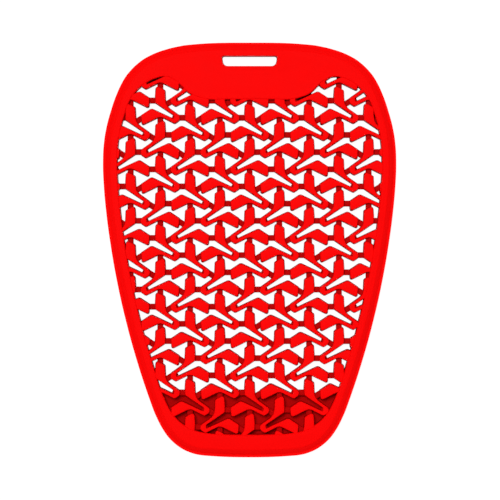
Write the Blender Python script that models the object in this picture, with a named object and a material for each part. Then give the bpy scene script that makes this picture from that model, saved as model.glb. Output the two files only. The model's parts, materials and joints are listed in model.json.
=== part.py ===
"""Hip protector insert: a one-piece moulded pad, a lattice of hooked cells inside a solid rim.

The pad lies on its back in the XY plane, face up, with its strap slot toward +Y.
Its plan is a set of closed loops: the outline, the steps of the rim, the window, the slot,
the cells and the webs between them. A triangulation of the window, and one of the rim round
it, give the tops, the walls and the back of a single closed solid.
"""

import math

import bpy
from mathutils import Vector
from mathutils.geometry import delaunay_2d_cdt

# Whole pad
PAD_LENGTH = 0.200
PAD_WIDTH = 0.1415
THICKNESS = 0.0095

# Rim: a flat flange, a slope up to the face, then the face as far as the window
FLANGE_WIDTH = 0.0012
FLANGE_HEIGHT = 0.0070
SLOPE_WIDTH = 0.0024
SIDE_BORDER = 0.0072
FOOT_BORDER = 0.0113
PANEL_DEPTH = 0.0277

# Strap slot in the top panel
SLOT_WIDTH = 0.0266
SLOT_HEIGHT = 0.0044
SLOT_INSET = 0.0067
SLOT_TAPER = 0.0009
SLOT_RADIUS = 0.0008

# Lattice
PITCH = 0.01659
LATTICE_START = 0.04573
LATTICE_DROP = 0.0004
WEB_WIDTH = 0.00285
WEB_HEIGHT = 0.0055

# Floor that closes the lowest gaps
FLOOR_THICKNESS = 0.0015
FLOOR_REACH = 0.0192

# How far a flat facet may lie inside its curve, and the smallest gap that is moulded open
SAG = 0.00013
SMALLEST_GAP = 0.8e-6
WELD = 1e-6

# Right half of the outline from the top down: shares of half the width and of the length
OUTLINE = (
    # reach, drop
    (0.000, 0.0000),
    (0.418, 0.0051),
    (0.500, 0.0100),
    (0.556, 0.0148),
    (0.638, 0.0244),
    (0.696, 0.0341),
    (0.740, 0.0438),
    (0.820, 0.0703),
    (0.859, 0.0896),
    (0.911, 0.1282),
    (0.948, 0.1669),
    (0.977, 0.2055),
    (0.994, 0.2441),
    (1.000, 0.2924),
    (0.995, 0.3407),
    (0.981, 0.3986),
    (0.953, 0.4759),
    (0.906, 0.5724),
    (0.845, 0.6690),
    (0.770, 0.7655),
    (0.680, 0.8621),
    (0.638, 0.9007),
    (0.579, 0.9394),
    (0.535, 0.9587),
    (0.467, 0.9780),
    (0.407, 0.9882),
    (0.358, 0.9933),
    (0.265, 0.9970),
    (0.000, 1.0000),
)

# Top of the window from the middle out: shares of half the width and of the panel depth
WINDOW_TOP = (
    # reach, drop
    (0.000, 1.000),
    (0.150, 1.000),
    (0.285, 1.000),
    (0.348, 0.963),
    (0.413, 0.893),
    (0.475, 0.745),
    (0.517, 0.661),
    (0.580, 0.603),
    (0.648, 0.640),
    (0.689, 0.690),
    (0.737, 0.774),
    (0.779, 0.883),
    (0.812, 1.010),
)

# Foot of the window from the side in: shares of half the width and of the length
WINDOW_FOOT = (
    # reach, rise
    (0.546, 0.0629),
    (0.503, 0.0417),
    (0.443, 0.0231),
    (0.370, 0.0101),
    (0.292, 0.0039),
    (0.183, 0.0010),
    (0.000, 0.0000),
)

# Shares of the length between which the window keeps SIDE_BORDER from the outline
SIDE_FROM = 0.165
SIDE_TO = 0.850

# One hooked cell, trunk at the top and mouth to the right: shares of the pitch
CELL = (
    # across, down
    (-0.155, 0.125),
    (-0.076, 0.067),
    (0.064, 0.000),
    (0.146, 0.055),
    (0.166, 0.320),
    (0.159, 0.501),
    (-0.359, 0.852),
    (-0.354, 0.923),
    (0.219, 0.655),
    (0.311, 0.670),
    (0.571, 0.841),
    (0.552, 1.083),
    (0.486, 1.141),
    (0.000, 0.905),
    (-0.415, 1.106),
    (-0.559, 1.019),
    (-0.594, 0.929),
    (-0.565, 0.843),
    (-0.263, 0.631),
    (-0.189, 0.536),
    (-0.167, 0.413),
)

# Middle lines of the three webs that tie a cell to its neighbours: shares of the pitch
WEBS = (
    # start across, start down, end across, end down
    (0.000, -0.175, 0.000, 0.146),
    (0.105, 0.421, 0.367, 0.421),
    (-0.405, 0.390, -0.152, 0.547),
)


def curve(points, steps=24):
    """A smooth curve through points that start and end on the middle line, as a dense list."""
    before = Vector((-points[1].x, points[1].y))
    after = Vector((-points[-2].x, points[-2].y))
    held = [before, *points, after]
    dense = []
    for a, b, c, d in zip(held, held[1:], held[2:], held[3:]):
        ka = math.sqrt((b - a).length)
        kb = math.sqrt((c - b).length)
        kc = math.sqrt((d - c).length)
        leave = ((b - a) / ka - (c - a) / (ka + kb) + (c - b) / kb) * kb
        arrive = ((c - b) / kb - (d - b) / (kb + kc) + (d - c) / kc) * kb
        for i in range(steps):
            t = i / steps
            dense.append(
                (2 * t**3 - 3 * t**2 + 1) * b
                + (t**3 - 2 * t**2 + t) * leave
                + (3 * t**2 - 2 * t**3) * c
                + (t**3 - t**2) * arrive
            )
    dense.append(points[-1])
    return dense


def thinned(points, sag):
    """The fewest of the points that leave no other more than sag from the line through them."""
    if len(points) < 3:
        return points
    chord = points[-1] - points[0]
    normal = Vector((-chord.y, chord.x)).normalized()
    away = [abs((p - points[0]).dot(normal)) for p in points]
    far = max(range(len(points)), key=away.__getitem__)
    if away[far] <= sag:
        return [points[0], points[-1]]
    return thinned(points[: far + 1], sag)[:-1] + thinned(points[far:], sag)


def both_sides(half):
    """A closed loop from its right half, whose two ends lie on the middle line."""
    left = [Vector((-p.x, p.y)) for p in half[1:-1]]
    return half + left[::-1]


def inset(points, distance):
    """The points of a half outline, each moved in along the normal there."""
    moved = []
    for i, p in enumerate(points):
        before = points[i - 1] if i else Vector((-points[1].x, points[1].y))
        after = points[i + 1] if i + 1 < len(points) else Vector((-points[-2].x, points[-2].y))
        along = (after - before).normalized()
        moved.append(p + distance * Vector((along.y, -along.x)))
    moved[0].x = 0
    moved[-1].x = 0
    return moved


def outline_half():
    return curve([Vector((x * PAD_WIDTH / 2, PAD_LENGTH * (0.5 - y))) for x, y in OUTLINE])


def window_half():
    """The window's right half: panel edge, side border, then the foot."""
    top = [
        Vector((x * PAD_WIDTH / 2, PAD_LENGTH / 2 - y * PANEL_DEPTH)) for x, y in WINDOW_TOP
    ]
    foot_y = FOOT_BORDER - PAD_LENGTH / 2
    foot = [Vector((x * PAD_WIDTH / 2, foot_y + y * PAD_LENGTH)) for x, y in WINDOW_FOOT]
    side = inset(outline_half(), SIDE_BORDER)
    high = PAD_LENGTH * (0.5 - SIDE_FROM)
    low = PAD_LENGTH * (0.5 - SIDE_TO)
    side = [p for p in side if low <= p.y <= high and p.x > 0][::12]
    return curve(top + side + foot)


def rounded(corners, radii, steps):
    """A closed loop with its corners rounded."""
    loop = []
    for i, corner in enumerate(corners):
        before = (corners[i - 1] - corner).normalized()
        after = (corners[(i + 1) % len(corners)] - corner).normalized()
        half = before.angle(after) / 2
        middle = corner + (before + after).normalized() * radii[i] / math.sin(half)
        start = corner + before * radii[i] / math.tan(half) - middle
        turn = (math.pi - 2 * half) / steps
        for k in range(steps + 1):
            c = math.cos(turn * k)
            s = -math.sin(turn * k)
            spoke = Vector((start.x * c - start.y * s, start.x * s + start.y * c))
            loop.append(middle + spoke)
    return loop


def slot_loop():
    top = PAD_LENGTH / 2 - SLOT_INSET
    foot = top - SLOT_HEIGHT
    wide = SLOT_WIDTH / 2
    narrow = wide - SLOT_TAPER
    corners = [
        Vector((-wide, top)),
        Vector((wide, top)),
        Vector((narrow, foot)),
        Vector((-narrow, foot)),
    ]
    return rounded(corners, [SLOT_RADIUS, SLOT_RADIUS, 2 * SLOT_RADIUS, 2 * SLOT_RADIUS], 3)


def cell_places():
    """Where each cell's trunk starts, and whether it hooks left (1) or right (-1)."""
    step = PITCH * math.sqrt(3) / 2
    columns = math.ceil(PAD_WIDTH / 2 / step) + 1
    rows = math.ceil(PAD_LENGTH / PITCH) + 1
    for column in range(-columns, columns + 1):
        for row in range(-2, rows):
            raised = (column % 2) * PITCH / 2
            y = PAD_LENGTH / 2 - LATTICE_START + raised - row * PITCH
            yield Vector((column * step, y)), -1 if row % 2 else 1


def cell_loop(place, hand):
    return [place + PITCH * Vector((hand * x, -y)) for x, y in CELL]


def web_loop(place, hand, web):
    start = PITCH * Vector((hand * web[0], -web[1]))
    end = PITCH * Vector((hand * web[2], -web[3]))
    along = (end - start).normalized()
    across = Vector((-along.y, along.x)) * WEB_WIDTH / 2
    corners = [start - across, end - across, end + across, start + across]
    return [place + corner for corner in corners]


def anticlockwise(loop):
    turned = sum(a.cross(b) for a, b in zip(loop, loop[1:] + loop[:1]))
    return loop if turned > 0 else loop[::-1]


def cut_up(loops):
    """The plane cut up by the loops: points, triangles, the loops that hold each, and the
    input points that each point stands for."""
    points = []
    faces = []
    for loop in loops:
        faces.append(list(range(len(points), len(points) + len(loop))))
        points.extend(anticlockwise(loop))
    spots, _, triangles, sources, _, owners = delaunay_2d_cdt(points, [], faces, 0, WELD, True)
    turned = []
    for a, b, c in triangles:
        up = (spots[b] - spots[a]).cross(spots[c] - spots[a]) > 0
        turned.append((a, b, c) if up else (a, c, b))
    return spots, turned, owners, sources


def lattice_patches():
    """The window cut up into cells, webs and gaps: points, triangles and what each is."""
    loops = [both_sides(thinned(window_half(), SAG))]
    kinds_of_loops = ["window"]
    for place, hand in cell_places():
        loops.append(cell_loop(place, hand))
        loops.extend(web_loop(place, hand, web) for web in WEBS)
        kinds_of_loops.extend(("cell", "web", "web", "web"))
    spots, triangles, owners, _ = cut_up(loops)
    kept = []
    kinds = []
    for triangle, owner in zip(triangles, owners):
        names = {kinds_of_loops[k] for k in owner}
        if "window" in names:
            kept.append(triangle)
            kinds.append("cell" if "cell" in names else "web" if "web" in names else "gap")
    return spots, kept, kinds


def border_of(triangles):
    """The loop of points round the triangles, anticlockwise."""
    edges = {
        (a, b) for corners in triangles for a, b in zip(corners, corners[1:] + corners[:1])
    }
    follows = {a: b for a, b in edges if (b, a) not in edges}
    loop = [min(follows)]
    while follows[loop[-1]] != loop[0]:
        loop.append(follows[loop[-1]])
    return loop


def add_rim(spots, triangles, kinds):
    """Adds the rim round the window, and says which of its points lie at the flange's height."""
    border = border_of(triangles)
    outline = thinned(outline_half(), SAG)
    loops = [
        [spots[i] for i in border],
        both_sides(outline),
        both_sides(inset(outline, FLANGE_WIDTH)),
        both_sides(inset(outline, FLANGE_WIDTH + SLOPE_WIDTH)),
        slot_loop(),
    ]
    window, outer, flange, _, slot = range(len(loops))
    rim_spots, rim_triangles, owners, sources = cut_up(loops)
    low_end = len(border) + len(loops[outer]) + len(loops[flange])
    names = {}
    low = set()
    for i, source in enumerate(sources):
        if source[0] < len(border):
            names[i] = border[source[0]]
            continue
        names[i] = len(spots)
        spots.append(rim_spots[i])
        if source[0] < low_end:
            low.add(names[i])
    for triangle, owner in zip(rim_triangles, owners):
        if outer in owner and window not in owner and slot not in owner:
            triangles.append(tuple(names[i] for i in triangle))
            kinds.append("rim")
    return low


def gap_groups(triangles, kinds):
    """The triangles of each gap in the lattice, one list a gap."""
    beside = {}
    for t, corners in enumerate(triangles):
        for a, b in zip(corners, corners[1:] + corners[:1]):
            beside[a, b] = t
    left = {t for t, kind in enumerate(kinds) if kind == "gap"}
    groups = []
    while left:
        wave = [left.pop()]
        group = []
        while wave:
            t = wave.pop()
            group.append(t)
            corners = triangles[t]
            for a, b in zip(corners, corners[1:] + corners[:1]):
                other = beside.get((b, a))
                if other in left:
                    left.remove(other)
                    wave.append(other)
        groups.append(group)
    return groups


def close_gaps(spots, triangles, kinds):
    """Fills the gaps too small to mould, and floors those near the foot of the window."""
    line = FOOT_BORDER - PAD_LENGTH / 2 + FLOOR_REACH
    for group in gap_groups(triangles, kinds):
        area = 0
        height = 0
        for t in group:
            a, b, c = (spots[i] for i in triangles[t])
            part = (b - a).cross(c - a) / 2
            area += part
            height += part * (a.y + b.y + c.y) / 3
        if area < SMALLEST_GAP:
            new = "cell"
        else:
            new = "floor" if height / area < line else "open"
        for t in group:
            kinds[t] = new


def solid(spots, triangles, kinds, low):
    """Points and faces of the closed solid that stands on the plan's patches."""
    tops = {
        "cell": THICKNESS - LATTICE_DROP,
        "web": WEB_HEIGHT,
        "floor": FLOOR_THICKNESS,
    }

    def height(t, spot):
        if t is None or kinds[t] == "open":
            return 0
        if kinds[t] == "rim":
            return FLANGE_HEIGHT if spot in low else THICKNESS
        return tops[kinds[t]]

    beside = {}
    levels = {}
    for t, corners in enumerate(triangles):
        for a, b in zip(corners, corners[1:] + corners[:1]):
            beside[a, b] = t
        for spot in corners:
            levels.setdefault(spot, {0}).add(height(t, spot))
    index = {}
    faces = []

    def corner(spot, z):
        return index.setdefault((spot, z), len(index))

    def wall(a, b, t, other):
        """The wall over edge a-b from the top of other up to the top of t."""
        chain_a = [z for z in sorted(levels[a]) if height(other, a) <= z <= height(t, a)]
        chain_b = [z for z in sorted(levels[b]) if height(other, b) <= z <= height(t, b)]
        i = j = 0
        while i + 1 < len(chain_a) or j + 1 < len(chain_b):
            raise_b = j + 1 < len(chain_b) and (
                i + 1 == len(chain_a) or chain_b[j + 1] <= chain_a[i + 1]
            )
            here = corner(a, chain_a[i])
            there = corner(b, chain_b[j])
            if raise_b:
                j += 1
                faces.append((here, there, corner(b, chain_b[j])))
            else:
                i += 1
                faces.append((here, there, corner(a, chain_a[i])))

    for t, corners in enumerate(triangles):
        if kinds[t] == "open":
            continue
        a, b, c = corners
        faces.append(tuple(corner(spot, height(t, spot)) for spot in corners))
        faces.append((corner(a, 0), corner(c, 0), corner(b, 0)))
        for a, b in zip(corners, corners[1:] + corners[:1]):
            other = beside.get((b, a))
            drop = height(t, a) - height(other, a) + height(t, b) - height(other, b)
            if drop > 0:
                wall(a, b, t, other)
    points = [(spots[spot].x, spots[spot].y, z) for spot, z in index]
    return points, faces


def elastomer():
    """Soft moulded plastic, red right through."""
    material = bpy.data.materials.new("red_elastomer")
    material.use_nodes = True
    surface = material.node_tree.nodes["Principled BSDF"]
    surface.inputs["Base Color"].default_value = (0.80, 0.004, 0.004, 1)
    surface.inputs["Roughness"].default_value = 0.5
    return material


def main():
    for item in list(bpy.data.objects):
        bpy.data.objects.remove(item)
    spots, triangles, kinds = lattice_patches()
    close_gaps(spots, triangles, kinds)
    low = add_rim(spots, triangles, kinds)
    points, faces = solid(spots, triangles, kinds, low)
    mesh = bpy.data.meshes.new("lattice_pad")
    mesh.from_pydata(points, [], faces)
    mesh.materials.append(elastomer())
    pad = bpy.data.objects.new("lattice_pad", mesh)
    bpy.context.scene.collection.objects.link(pad)


main()
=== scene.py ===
"""Hip protector insert: a one-piece moulded pad, a lattice of hooked cells in a solid rim.

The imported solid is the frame. The pad is modelled again to its size, with the leaning walls and
small rounds of a real moulding: a blank with its stepped edge, a window and a slot cut through it,
then the cells, the webs and the plates that fill the window, all merged into one body.
"""

import json
import math

import bpy
from mathutils import Matrix, Vector

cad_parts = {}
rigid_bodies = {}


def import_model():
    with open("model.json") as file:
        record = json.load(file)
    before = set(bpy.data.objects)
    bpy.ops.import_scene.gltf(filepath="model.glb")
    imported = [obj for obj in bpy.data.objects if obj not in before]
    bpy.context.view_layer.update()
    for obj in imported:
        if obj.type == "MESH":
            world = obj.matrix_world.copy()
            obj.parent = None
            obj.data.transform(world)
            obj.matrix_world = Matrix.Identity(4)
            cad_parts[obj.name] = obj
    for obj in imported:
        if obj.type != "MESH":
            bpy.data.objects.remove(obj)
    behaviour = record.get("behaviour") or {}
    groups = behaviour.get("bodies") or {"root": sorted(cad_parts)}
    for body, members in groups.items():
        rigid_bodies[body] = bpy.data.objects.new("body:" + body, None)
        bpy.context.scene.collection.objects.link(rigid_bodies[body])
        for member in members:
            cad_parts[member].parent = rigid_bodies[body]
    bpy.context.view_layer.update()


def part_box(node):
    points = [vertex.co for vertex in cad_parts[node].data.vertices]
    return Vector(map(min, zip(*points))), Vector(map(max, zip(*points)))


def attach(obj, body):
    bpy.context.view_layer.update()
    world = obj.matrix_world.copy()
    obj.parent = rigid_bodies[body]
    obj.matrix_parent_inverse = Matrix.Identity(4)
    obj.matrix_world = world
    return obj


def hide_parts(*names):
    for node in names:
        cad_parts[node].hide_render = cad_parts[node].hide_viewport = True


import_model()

MM = 0.001

# The pad's own size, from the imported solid
low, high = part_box("lattice_pad")
PAD_WIDTH = high.x - low.x
PAD_LENGTH = high.y - low.y
THICKNESS = high.z - low.z
TOP_Y = high.y
FOOT_Y = low.y

# Rim
FLANGE_WIDTH = 1.2 * MM
FLANGE_HEIGHT = 7.0 * MM
SLOPE_WIDTH = 2.4 * MM
SIDE_BORDER = 7.2 * MM
FOOT_BORDER = 11.3 * MM
PANEL_DEPTH = 27.7 * MM

# Strap slot
SLOT_WIDTH = 26.6 * MM
SLOT_HEIGHT = 4.3 * MM
SLOT_INSET = 6.7 * MM
SLOT_TAPER = 0.9 * MM
SLOT_TOP_ROUND = 1.2 * MM
SLOT_FOOT_ROUND = 1.8 * MM

# Lattice
PITCH = 16.59 * MM
LATTICE_START = 45.73 * MM
LATTICE_TOP = THICKNESS - 0.4 * MM
WEB_WIDTH = 2.85 * MM
WEB_HEIGHT = 5.5 * MM
FLOOR_THICKNESS = 1.5 * MM
FLOOR_REACH = 19.7 * MM

# How much narrower walls get towards the face, so that the pad leaves its mould
DRAFT = 0.42 * MM

# Small rounds that the mould leaves on edges
EDGE_ROUND = 0.18 * MM
RIM_ROUND = 0.30 * MM
LIP_CHAMFER = 0.35 * MM
WEB_ROUND = 0.40 * MM
CORNER_SEGMENTS = 4
EDGE_SEGMENTS = 3
SMOOTH_ANGLE = math.radians(35)

# How far cutters stand out past the pad's back and face
CLEAR = 1.0 * MM

# Vertices closer than WELD are one, and places closer than NEAR are the same place
WELD = 1e-6
NEAR = 0.01 * MM

# How far the lattice runs on inside the rim, so that the two merge
BURIED = 0.8 * MM

# Right half of the outline from the top down: shares of half the width and of the length
OUTLINE = (
    # reach, drop
    (0.000, 0.0000),
    (0.418, 0.0051),
    (0.500, 0.0100),
    (0.556, 0.0148),
    (0.638, 0.0244),
    (0.696, 0.0341),
    (0.740, 0.0438),
    (0.820, 0.0703),
    (0.859, 0.0896),
    (0.911, 0.1282),
    (0.948, 0.1669),
    (0.977, 0.2055),
    (0.994, 0.2441),
    (1.000, 0.2924),
    (0.995, 0.3407),
    (0.981, 0.3986),
    (0.953, 0.4759),
    (0.906, 0.5724),
    (0.845, 0.6690),
    (0.770, 0.7655),
    (0.680, 0.8621),
    (0.638, 0.9007),
    (0.579, 0.9394),
    (0.535, 0.9587),
    (0.467, 0.9780),
    (0.407, 0.9882),
    (0.358, 0.9933),
    (0.265, 0.9970),
    (0.000, 1.0000),
)

# Top of the window from the middle out: shares of half the width and of the panel depth
WINDOW_TOP = (
    # reach, drop
    (0.000, 1.000),
    (0.150, 1.000),
    (0.285, 1.000),
    (0.348, 0.963),
    (0.413, 0.893),
    (0.475, 0.745),
    (0.517, 0.661),
    (0.580, 0.603),
    (0.648, 0.640),
    (0.689, 0.690),
    (0.737, 0.774),
    (0.779, 0.883),
    (0.812, 1.010),
)

# Foot of the window from the side in: shares of half the width and of the length
WINDOW_FOOT = (
    # reach, rise
    (0.546, 0.0629),
    (0.503, 0.0417),
    (0.443, 0.0231),
    (0.370, 0.0101),
    (0.292, 0.0039),
    (0.183, 0.0010),
    (0.000, 0.0000),
)
SIDE_FROM = 0.165
SIDE_TO = 0.850

# Corners of one hooked cell, trunk at the top and mouth to the right, each with how far back from
# the corner its round starts: shares of the pitch
CELL = (
    # across, down, round
    (-0.155, 0.125, 0.024),
    (-0.076, 0.067, 0.012),
    (0.075, -0.006, 0.024),
    (0.148, 0.048, 0.036),
    (0.167, 0.320, 0.060),
    (0.159, 0.501, 0.012),
    (-0.387, 0.871, 0.036),
    (-0.375, 0.934, 0.024),
    (0.259, 0.636, 0.060),
    (0.573, 0.843, 0.024),
    (0.546, 1.172, 0.090),
    (0.000, 0.905, 0.090),
    (-0.422, 1.116, 0.036),
    (-0.562, 1.022, 0.036),
    (-0.598, 0.929, 0.036),
    (-0.565, 0.843, 0.036),
    (-0.263, 0.631, 0.060),
    (-0.189, 0.536, 0.060),
    (-0.167, 0.413, 0.060),
)

# Middle lines of the three webs that tie a cell to its neighbours, and of the fourth that fills
# the end of its crotch: shares of the pitch
WEBS = (
    # start across, start down, end across, end down
    (0.000, -0.175, 0.000, 0.146),
    (0.105, 0.421, 0.367, 0.421),
    (-0.405, 0.390, -0.152, 0.547),
    (-0.460, 0.935, -0.352, 0.880),
)


# Thin plates that close narrow slits between the lattice and the rim, in millimetres and degrees
CLOSERS = (
    # middle x, middle y, length, width, turn
    (-46.2, 81.6, 8.0, 2.4, 28),
    (25.6, 73.6, 9.5, 2.0, 21),
    (-11.4, 72.2, 1.8, 1.4, 0),
    (-5.6, 72.2, 1.8, 1.4, 0),
    (17.6, 72.2, 1.8, 1.4, 0),
    (60.6, 63.2, 1.6, 5.0, 0),
    (42.9, 83.0, 1.8, 1.8, 0),
)


# Light: the glow of the sheet under the pad, the even light of the room, and the lamps, each
# with the way its light comes from, its strength and how soft it is in degrees
SHEET_GLOW = 0.96
WORLD_LIGHT = 0.37
LIGHTS = (
    # name, from x, from y, from z, strength, softness
    ("key", -0.12, 0.18, 1.00, 1.98, 15),
    ("fill", 0.50, -0.50, 1.00, 0.1, 40),
)

# The photograph's frame: a straight look down on the face from far off, the pad 414.6 pixels
# long in a frame 500 pixels wide, its middle 0.4 pixels left of the frame's middle
PIXEL = PAD_LENGTH / 414.6
FRAME_WIDTH = 500 * PIXEL
CAMERA_X = 0.4 * PIXEL
CAMERA_HEIGHT = 3.0
SENSOR = 36.0

# Width of the sheet under the pad
SHEET_SIZE = 6.0


def deselect_all():
    if bpy.context.mode != "OBJECT":
        bpy.ops.object.mode_set(mode="OBJECT")
    bpy.ops.object.select_all(action="DESELECT")


def edit(piece):
    """Opens a piece in edit mode, with all of it selected."""
    deselect_all()
    piece.select_set(True)
    bpy.context.view_layer.objects.active = piece
    bpy.ops.object.mode_set(mode="EDIT")
    bpy.ops.mesh.select_mode(type="VERT")
    bpy.ops.mesh.select_all(action="SELECT")


def close_edit():
    bpy.ops.object.mode_set(mode="OBJECT")


def pick(piece, kind, wanted):
    """In edit mode, selects only the vertices, edges or faces that the test wants."""
    bpy.ops.mesh.select_mode(type=kind)
    bpy.ops.mesh.select_all(action="DESELECT")
    bpy.ops.object.mode_set(mode="OBJECT")
    mesh = piece.data
    parts = {"VERT": mesh.vertices, "EDGE": mesh.edges, "FACE": mesh.polygons}[kind]
    for part in parts:
        part.select = bool(wanted(mesh, part))
    bpy.ops.object.mode_set(mode="EDIT")


def at_height(z):
    """A test for edges that lie wholly at height z."""
    return lambda mesh, edge: all(
        abs(mesh.vertices[i].co.z - z) < NEAR for i in edge.vertices
    )


def smooth_through(points, name):
    """A closed flat sheet whose edge runs smoothly through the points."""
    curve = bpy.data.curves.new(name, "CURVE")
    curve.dimensions = "3D"
    curve.resolution_u = 6
    spline = curve.splines.new("BEZIER")
    spline.bezier_points.add(len(points) - 1)
    for knot, point in zip(spline.bezier_points, points):
        knot.co = (point.x, point.y, 0)
        knot.handle_left_type = "AUTO"
        knot.handle_right_type = "AUTO"
    spline.use_cyclic_u = True
    sheet = bpy.data.objects.new(name, curve)
    bpy.context.scene.collection.objects.link(sheet)
    deselect_all()
    sheet.select_set(True)
    bpy.context.view_layer.objects.active = sheet
    bpy.ops.object.convert(target="MESH")
    sheet = bpy.context.view_layer.objects.active
    edit(sheet)
    bpy.ops.mesh.edge_face_add()
    bpy.ops.mesh.normals_make_consistent(inside=False)
    close_edit()
    return sheet


def traced(corners, name):
    """A closed flat sheet with straight edges, traced corner by corner."""
    deselect_all()
    bpy.ops.mesh.primitive_plane_add(size=MM)
    sheet = bpy.context.active_object
    sheet.name = name
    edit(sheet)
    bpy.ops.mesh.merge(type="CENTER")
    bpy.ops.transform.translate(value=(corners[0].x, corners[0].y, 0))
    for here, there in zip(corners, corners[1:]):
        step = there - here
        bpy.ops.mesh.extrude_region_move(TRANSFORM_OT_translate={"value": (step.x, step.y, 0)})
    bpy.ops.mesh.select_all(action="SELECT")
    bpy.ops.mesh.edge_face_add()
    close_edit()
    return sheet


def raise_sheet(sheet, near_z, far_z, lean=0.0, funnel=0.0):
    """Makes the sheet a solid from near_z to far_z, its far face smaller all round by the lean.

    A funnel is the depth over which a cutter first narrows at 45 degrees, downwards."""
    edit(sheet)
    bpy.ops.transform.translate(value=(0, 0, near_z))
    if funnel:
        bpy.ops.mesh.inset(thickness=funnel)
        bpy.ops.transform.translate(value=(0, 0, -funnel))
        near_z -= funnel
    if lean:
        bpy.ops.mesh.inset(thickness=lean)
        bpy.ops.transform.translate(value=(0, 0, far_z - near_z))
        bpy.ops.mesh.select_all(action="DESELECT")
        bpy.ops.mesh.select_non_manifold()
        bpy.ops.mesh.edge_face_add()
    else:
        step = (0, 0, far_z - near_z)
        bpy.ops.mesh.extrude_region_move(TRANSFORM_OT_translate={"value": step})
    bpy.ops.mesh.select_all(action="SELECT")
    bpy.ops.mesh.normals_make_consistent(inside=False)
    close_edit()


def round_corners(piece, corners, rounds):
    """Rounds the upright edges over the corners, those with the same round in one go."""
    edit(piece)
    for amount in sorted(set(rounds)):
        spots = [c for c, r in zip(corners, rounds) if r == amount]

        def is_upright(mesh, edge):
            ends = [mesh.vertices[i].co for i in edge.vertices]
            tall = abs(ends[0].z - ends[1].z) > MM
            return tall and any((e.xy - c).length < NEAR for e in ends for c in spots)

        pick(piece, "EDGE", is_upright)
        bpy.ops.mesh.bevel(offset=amount, segments=CORNER_SEGMENTS, affect="EDGES")
    close_edit()


def round_edges(piece, z, amount):
    """Rounds the level edges at height z."""
    edit(piece)
    pick(piece, "EDGE", at_height(z))
    bpy.ops.mesh.bevel(offset=amount, segments=EDGE_SEGMENTS, affect="EDGES")
    close_edit()


def boolean(piece, operation, other, solver="EXACT"):
    """Cuts, joins or meets the piece with another, and leaves the other out."""
    deselect_all()
    bpy.context.view_layer.objects.active = piece
    step = piece.modifiers.new("boolean", "BOOLEAN")
    step.operation = operation
    step.solver = solver
    step.object = other
    bpy.ops.object.modifier_apply(modifier=step.name)


def remove(piece):
    bpy.data.objects.remove(piece)


def whole_loop(half):
    """A closed loop from its right half, whose ends lie on the middle line."""
    return half + [Vector((-p.x, p.y)) for p in half[1:-1]][::-1]


def outline_half():
    return [Vector((x * PAD_WIDTH / 2, TOP_Y - y * PAD_LENGTH)) for x, y in OUTLINE]


def window_half():
    """Panel edge, side border and foot of the window."""
    top = [Vector((x * PAD_WIDTH / 2, TOP_Y - y * PANEL_DEPTH)) for x, y in WINDOW_TOP]
    foot_y = FOOT_Y + FOOT_BORDER
    foot = [Vector((x * PAD_WIDTH / 2, foot_y + y * PAD_LENGTH)) for x, y in WINDOW_FOOT]
    outline = outline_half()
    side = []
    for before, here, after in zip(outline, outline[1:], outline[2:]):
        if SIDE_FROM <= (TOP_Y - here.y) / PAD_LENGTH <= SIDE_TO:
            along = (after - before).normalized()
            side.append(here + SIDE_BORDER * Vector((along.y, -along.x)))
    return top + side + foot


def make_blank():
    """The pad before it is cut: flange, slope and face."""
    blank = smooth_through(whole_loop(outline_half()), "lattice_pad_moulding")
    raise_sheet(blank, 0, FLANGE_HEIGHT)
    edit(blank)
    pick(blank, "FACE", lambda mesh, face: face.center.z > FLANGE_HEIGHT - NEAR)
    bpy.ops.mesh.inset(thickness=FLANGE_WIDTH)
    bpy.ops.mesh.inset(thickness=SLOPE_WIDTH, depth=THICKNESS - FLANGE_HEIGHT)
    close_edit()
    round_edges(blank, 0, RIM_ROUND)
    round_edges(blank, THICKNESS, RIM_ROUND)
    return blank


def grown_by(loop, amount):
    """The closed loop with its points moved outwards."""
    grown = []
    for before, here, after in zip([loop[-1]] + loop[:-1], loop, loop[1:] + loop[:1]):
        along = (after - before).normalized()
        grown.append(here + amount * Vector((-along.y, along.x)))
    return grown


def make_window_sheet(grown):
    return smooth_through(grown_by(whole_loop(window_half()), grown), "window_cutter")


def make_slot_cutter():
    """The slot's solid, wider at the face than at the back."""
    wide = SLOT_WIDTH / 2 + DRAFT
    narrow = wide - SLOT_TAPER
    top = TOP_Y - SLOT_INSET + DRAFT
    foot = TOP_Y - SLOT_INSET - SLOT_HEIGHT - DRAFT
    corners = [
        Vector((-wide, top)),
        Vector((wide, top)),
        Vector((narrow, foot)),
        Vector((-narrow, foot)),
    ]
    cutter = traced(corners, "slot_cutter")
    raise_sheet(cutter, THICKNESS + CLEAR, -CLEAR, DRAFT)
    round_corners(cutter, corners, [SLOT_TOP_ROUND] * 2 + [SLOT_FOOT_ROUND] * 2)
    return cutter


def make_cell():
    """One cell that hooks left, its trunk top at the origin."""
    corners = [PITCH * Vector((x, -y)) for x, y, _ in CELL]
    cell = traced(corners, "cell")
    raise_sheet(cell, 0, LATTICE_TOP, DRAFT)
    round_corners(cell, corners, [PITCH * r for _, _, r in CELL])
    round_edges(cell, LATTICE_TOP, EDGE_ROUND)
    return cell


def make_web(row):
    """One web of a cell that hooks left, as a bar with a softly rounded top."""
    start = PITCH * Vector((row[0], -row[1]))
    end = PITCH * Vector((row[2], -row[3]))
    along = (end - start).normalized()
    across = Vector((-along.y, along.x)) * WEB_WIDTH / 2
    corners = [start - across, end - across, end + across, start + across]
    web = traced(corners, "web")
    raise_sheet(web, 0, WEB_HEIGHT)
    round_edges(web, WEB_HEIGHT, WEB_ROUND)
    return web


def mirrored(piece):
    """The same piece hooking the other way."""
    copy = piece.copy()
    copy.data = piece.data.copy()
    bpy.context.scene.collection.objects.link(copy)
    edit(copy)
    bpy.ops.transform.resize(value=(-1, 1, 1), center_override=(0, 0, 0))
    bpy.ops.mesh.flip_normals()
    close_edit()
    return copy


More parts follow.
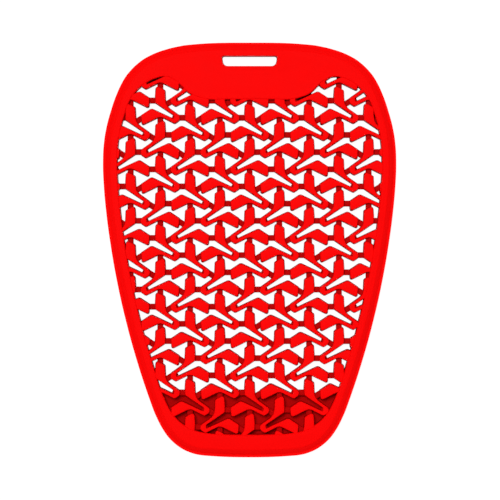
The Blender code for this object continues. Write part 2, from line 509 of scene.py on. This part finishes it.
def set_down(piece, place):
    """A copy of the piece moved to a place in the lattice."""
    copy = piece.copy()
    copy.data = piece.data.copy()
    copy.data.transform(Matrix.Translation((place.x, place.y, 0)))
    bpy.context.scene.collection.objects.link(copy)
    return copy


def cell_places():
    """Where each cell's trunk starts, and whether it hooks left (0) or right (1)."""
    step = PITCH * math.sqrt(3) / 2
    columns = math.ceil(PAD_WIDTH / 2 / step) + 1
    rows = math.ceil(PAD_LENGTH / PITCH) + 1
    for column in range(-columns, columns + 1):
        for row in range(-2, rows):
            raised = (column % 2) * PITCH / 2
            yield Vector((column * step, TOP_Y - LATTICE_START + raised - row * PITCH)), row % 2


def inside(point, loop):
    """Whether a point lies in a closed loop, by how often a line from it crosses the loop."""
    found = False
    for a, b in zip(loop, loop[1:] + loop[:1]):
        if (a.y > point.y) != (b.y > point.y):
            if point.x < a.x + (point.y - a.y) / (b.y - a.y) * (b.x - a.x):
                found = not found
    return found


def make_floor():
    """The thin floor under the lowest gaps, its upper edge hidden under cells and webs."""
    top = FOOT_Y + FOOT_BORDER + FLOOR_REACH
    foot = FOOT_Y + FOOT_BORDER / 2
    wide = PAD_WIDTH / 2
    corners = [
        Vector((-wide, top)),
        Vector((wide, top)),
        Vector((wide, foot)),
        Vector((-wide, foot)),
    ]
    floor = traced(corners, "floor_plate")
    raise_sheet(floor, 0, FLOOR_THICKNESS)
    return floor


def make_closer(row):
    """One thin plate under a narrow slit between a cell and the rim."""
    x, y, length, width, turn = row
    along = Matrix.Rotation(math.radians(turn), 2) @ Vector((length / 2, 0))
    across = Matrix.Rotation(math.radians(turn), 2) @ Vector((0, width / 2))
    place = Vector((x, y))
    corners = [
        place - along - across,
        place + along - across,
        place + along + across,
        place - along + across,
    ]
    corners = [MM * c for c in corners]
    closer = traced(corners, "closer")
    raise_sheet(closer, 0, FLOOR_THICKNESS)
    return closer


def make_lattice():
    """Every cell, web and floor piece, cut where it would run past the rim."""
    cutter = make_window_sheet(BURIED)
    border = [v.co.xy.copy() for v in (cutter.data.vertices[i] for i in outer_loop(cutter))]
    raise_sheet(cutter, -CLEAR, THICKNESS + CLEAR)
    left = [make_cell()] + [make_web(row) for row in WEBS]
    right = [mirrored(piece) for piece in left]
    lattice = []
    for place, hand in cell_places():
        for piece in (left, right)[hand]:
            feet = [v.co.xy + place for v in piece.data.vertices if v.co.z < NEAR]
            held = [inside(foot, border) for foot in feet]
            if not any(held):
                continue
            copy = set_down(piece, place)
            if not all(held):
                boolean(copy, "INTERSECT", cutter)
            lattice.append(copy)
    for plate in [make_floor()] + [make_closer(row) for row in CLOSERS]:
        boolean(plate, "INTERSECT", cutter)
        lattice.append(plate)
    for piece in left + right + [cutter]:
        remove(piece)
    return lattice


def outer_loop(sheet):
    """The vertices round a flat sheet, in order."""
    ends = {}
    uses = {}
    for face in sheet.data.polygons:
        for a, b in face.edge_keys:
            uses[a, b] = uses.get((a, b), 0) + 1
    for (a, b), count in uses.items():
        if count == 1:
            ends.setdefault(a, []).append(b)
            ends.setdefault(b, []).append(a)
    start = min(ends)
    loop = [start, ends[start][0]]
    while True:
        one, other = ends[loop[-1]]
        following = other if one == loop[-2] else one
        if following == start:
            return loop
        loop.append(following)


def make_pad():
    """Rim and lattice merged into one moulding."""
    pad = make_blank()
    funnel = CLEAR + LIP_CHAMFER
    window = make_window_sheet(DRAFT + funnel)
    raise_sheet(window, THICKNESS + CLEAR, -CLEAR, DRAFT, funnel)
    boolean(pad, "DIFFERENCE", window)
    remove(window)
    slot = make_slot_cutter()
    boolean(pad, "DIFFERENCE", slot)
    remove(slot)
    group = bpy.data.collections.new("lattice")
    bpy.context.scene.collection.children.link(group)
    for piece in make_lattice():
        group.objects.link(piece)
    deselect_all()
    bpy.context.view_layer.objects.active = pad
    step = pad.modifiers.new("merge", "BOOLEAN")
    step.operation = "UNION"
    step.solver = "MANIFOLD"
    step.operand_type = "COLLECTION"
    step.collection = group
    bpy.ops.object.modifier_apply(modifier=step.name)
    for piece in list(group.objects):
        remove(piece)
    bpy.data.collections.remove(group)
    drop_crumbs(pad)
    return pad


def drop_crumbs(piece):
    """Deletes the tiny closed shells that a merge leaves, those not joined to the outer edge, and
    welds doubled vertices."""
    edit(piece)
    pick(piece, "VERT", lambda mesh, vertex: vertex.co.y > TOP_Y - NEAR)
    bpy.ops.mesh.select_linked()
    bpy.ops.mesh.select_all(action="INVERT")
    bpy.ops.mesh.delete(type="VERT")
    bpy.ops.mesh.select_all(action="SELECT")
    bpy.ops.mesh.remove_doubles(threshold=WELD)
    close_edit()


def linear(hex_colour):
    """A material's colour from its sRGB hex value."""
    channels = [int(hex_colour[i : i + 2], 16) / 255 for i in (1, 3, 5)]
    return [c / 12.92 if c <= 0.04045 else ((c + 0.055) / 1.055) ** 2.4 for c in channels] + [1]


def add_node(tree, kind, links=(), **settings):
    """Adds a node, with its settings, its inputs' values and its links."""
    node = tree.nodes.new(kind)
    inputs = settings.pop("inputs", {})
    for name, value in settings.items():
        setattr(node, name, value)
    for name, value in inputs.items():
        node.inputs[name].default_value = value
    for source, name in links:
        tree.links.new(source, node.inputs[name])
    return node


def moulded_elastomer():
    """Thermoplastic polyurethane, injection moulded: an even, saturated red with a soft satin
    bloom, a fine spark-eroded grain from the mould, and painted shade: a darker red from the
    flange's height down to the webs' tops, where shade falls between the cells."""
    material = bpy.data.materials.new("moulded_polyurethane")
    material.use_nodes = True
    tree = material.node_tree
    surface = tree.nodes["Principled BSDF"]
    place = add_node(tree, "ShaderNodeTexCoord")
    depth = add_node(tree, "ShaderNodeSeparateXYZ", [(place.outputs["Object"], "Vector")])
    # Painted shade: how high a point stands, from the webs' tops up to the flange's height; lower
    # means darker
    painted_recess_shade = add_node(
        tree,
        "ShaderNodeMapRange",
        [(depth.outputs["Z"], "Value")],
        inputs={"From Min": WEB_HEIGHT, "From Max": FLANGE_HEIGHT},
    )
    mottle = add_node(
        tree,
        "ShaderNodeTexNoise",
        [(place.outputs["Object"], "Vector")],
        inputs={"Scale": 1 / (9 * MM), "Detail": 3.0},
    )
    shade = add_node(
        tree,
        "ShaderNodeMix",
        [(mottle.outputs["Fac"], "Factor")],
        data_type="RGBA",
        inputs={"A": linear("#F80202"), "B": linear("#FF0404")},
    )
    # Painted shade: the red turns to #B20000 at and below the webs' tops, down between the cells
    colour = add_node(
        tree,
        "ShaderNodeMix",
        [(painted_recess_shade.outputs["Result"], "Factor"), (shade.outputs["Result"], "B")],
        data_type="RGBA",
        inputs={"A": linear("#B20000")},
    )
    tree.links.new(colour.outputs["Result"], surface.inputs["Base Color"])
    grain = add_node(
        tree,
        "ShaderNodeTexNoise",
        [(place.outputs["Object"], "Vector")],
        inputs={"Scale": 1 / (0.35 * MM), "Detail": 2.0},
    )
    bump = add_node(
        tree,
        "ShaderNodeBump",
        [(grain.outputs["Fac"], "Height")],
        inputs={"Strength": 0.25, "Distance": 0.03 * MM},
    )
    tree.links.new(bump.outputs["Normal"], surface.inputs["Normal"])
    gloss = add_node(
        tree,
        "ShaderNodeMapRange",
        [(mottle.outputs["Fac"], "Value")],
        inputs={"To Min": 0.50, "To Max": 0.62},
    )
    tree.links.new(gloss.outputs["Result"], surface.inputs["Roughness"])
    surface.inputs["IOR"].default_value = 1.5
    surface.inputs["Specular IOR Level"].default_value = 0.02
    return material


def opal_sheet():
    """A light table: a pale opal sheet lit from below, so that the gaps stay white."""
    material = bpy.data.materials.new("backlit_opal_sheet")
    material.use_nodes = True
    surface = material.node_tree.nodes["Principled BSDF"]
    surface.inputs["Base Color"].default_value = linear("#5A5A5A")
    surface.inputs["Roughness"].default_value = 0.9
    surface.inputs["Specular IOR Level"].default_value = 0.0
    surface.inputs["Emission Color"].default_value = (1, 1, 1, 1)
    surface.inputs["Emission Strength"].default_value = SHEET_GLOW
    return material


def make_stage():
    """The sheet under the pad and the even light of the room."""
    deselect_all()
    bpy.ops.mesh.primitive_plane_add(size=SHEET_SIZE)
    floor = bpy.context.active_object
    floor.name = "paper_floor"
    floor.data.materials.append(opal_sheet())
    world = bpy.data.worlds.new("studio")
    bpy.context.scene.world = world
    world.use_nodes = True
    world.node_tree.nodes["Background"].inputs["Color"].default_value = (1, 1, 1, 1)
    world.node_tree.nodes["Background"].inputs["Strength"].default_value = WORLD_LIGHT


def make_lights():
    """The lamps, as far-off soft lights."""
    for name, x, y, z, strength, softness in LIGHTS:
        light = bpy.data.lights.new(name, "SUN")
        light.energy = strength
        light.angle = math.radians(softness)
        lamp = bpy.data.objects.new(name, light)
        lamp.rotation_euler = Vector((x, y, z)).to_track_quat("Z", "Y").to_euler()
        lamp.location = Vector((x, y, z))
        bpy.context.scene.collection.objects.link(lamp)


def make_camera():
    """Looks straight down, with the flange's upper edge at its true size in the frame."""
    data = bpy.data.cameras.new("camera")
    data.sensor_width = SENSOR
    data.lens = SENSOR * (CAMERA_HEIGHT - FLANGE_HEIGHT) / FRAME_WIDTH
    data.clip_start = 0.1
    data.clip_end = 20
    camera = bpy.data.objects.new("camera", data)
    camera.location = (CAMERA_X, (TOP_Y + FOOT_Y) / 2, CAMERA_HEIGHT)
    bpy.context.scene.collection.objects.link(camera)
    bpy.context.scene.camera = camera


make_camera()
make_lights()
make_stage()
bpy.context.scene.view_settings.view_transform = "Standard"

pad = make_pad()
pad.data.materials.clear()
pad.data.materials.append(moulded_elastomer())
deselect_all()
pad.select_set(True)
bpy.context.view_layer.objects.active = pad
bpy.ops.object.shade_smooth_by_angle(angle=SMOOTH_ANGLE)
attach(pad, "root")
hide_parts("lattice_pad")
